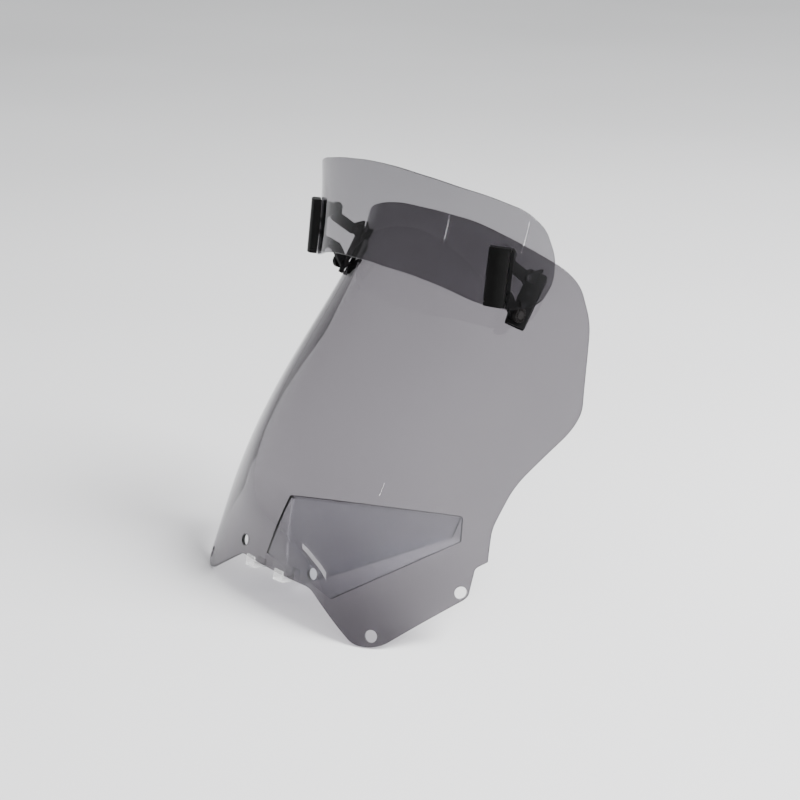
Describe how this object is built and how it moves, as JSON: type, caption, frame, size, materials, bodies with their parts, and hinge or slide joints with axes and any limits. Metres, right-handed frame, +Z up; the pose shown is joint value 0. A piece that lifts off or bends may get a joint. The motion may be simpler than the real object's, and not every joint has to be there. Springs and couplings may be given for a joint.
{
  "type": "motorcycle windshield screen",
  "caption": "Smoked, curved motorcycle windshield with an adjustable spoiler blade on two parallel-arm linkages, resting on its lower lobes and a folded stand.",
  "frame": {"origin": "on the ground, under the middle of the whole object", "axes": "+X across the screen, to the right as seen from the front; +Y towards the rider; +Z up"},
  "size_m": [0.3162, 0.2258, 0.349],
  "materials": {
    "smoked_acrylic": "polished transparent grey acrylic sheet",
    "clear_acrylic": "polished clear acrylic sheet, folded",
    "clear_clip": "clear soft plastic edge clip",
    "black_plastic": "fine-textured black glass-filled nylon",
    "bar_plastic": "satin black moulded plastic",
    "knob_plastic": "satin black ridged plastic",
    "black_rubber": "matt black rubber",
    "black_steel": "black coated steel screw",
    "pin_steel": "black coated hollow rivet"
  },
  "bodies": {
    "screen": {"main_screen": "smoked_acrylic", "support_stand": "clear_acrylic", "bottom_edge_clips": "clear_clip", "left_base_plate": "black_plastic", "left_base_pad": "black_rubber", "left_clamp_plate": "black_plastic", "left_clamp_pad": "black_rubber", "left_base_screws": "black_steel", "left_upper_base_pin": "pin_steel", "left_detent_knob": "knob_plastic", "right_base_plate": "black_plastic", "right_base_pad": "black_rubber", "right_clamp_plate": "black_plastic", "right_clamp_pad": "black_rubber", "right_base_screws": "black_steel", "right_upper_base_pin": "pin_steel", "right_detent_knob": "knob_plastic"},
    "upper_arms": {"left_upper_arm": "black_plastic", "right_upper_arm": "black_plastic"},
    "lower_arms": {"left_lower_arm": "black_plastic", "right_lower_arm": "black_plastic"},
    "spoiler": {"spoiler_blade": "smoked_acrylic", "left_blade_holder": "black_plastic", "left_holder_pad": "black_rubber", "left_grip_bar": "bar_plastic", "left_bar_screws": "black_steel", "left_upper_blade_pin": "pin_steel", "left_lower_blade_pin": "pin_steel", "right_blade_holder": "black_plastic", "right_holder_pad": "black_rubber", "right_grip_bar": "bar_plastic", "right_bar_screws": "black_steel", "right_upper_blade_pin": "pin_steel", "right_lower_blade_pin": "pin_steel"}
  },
  "joints": [
    {"name": "spoiler_raise", "type": "hinge", "parent": "screen", "child": "upper_arms", "pos_m": [0, 0.0724, 0.2675], "axis": [1, 0, 0], "range_deg": [-22, 22]},
    {"name": "lower_arm_swing", "type": "hinge", "parent": "screen", "child": "lower_arms", "pos_m": [0, 0.0611, 0.2397], "axis": [1, 0, 0], "range_deg": [-22, 22]},
    {"name": "blade_level", "type": "hinge", "parent": "upper_arms", "child": "spoiler", "pos_m": [0, 0.0553, 0.2888], "axis": [1, 0, 0], "range_deg": [-22, 22]}
  ],
  "couplings": [
    {"joint": "lower_arm_swing", "follows": "spoiler_raise", "ratio": 1},
    {"joint": "blade_level", "follows": "spoiler_raise", "ratio": -1}
  ]
}
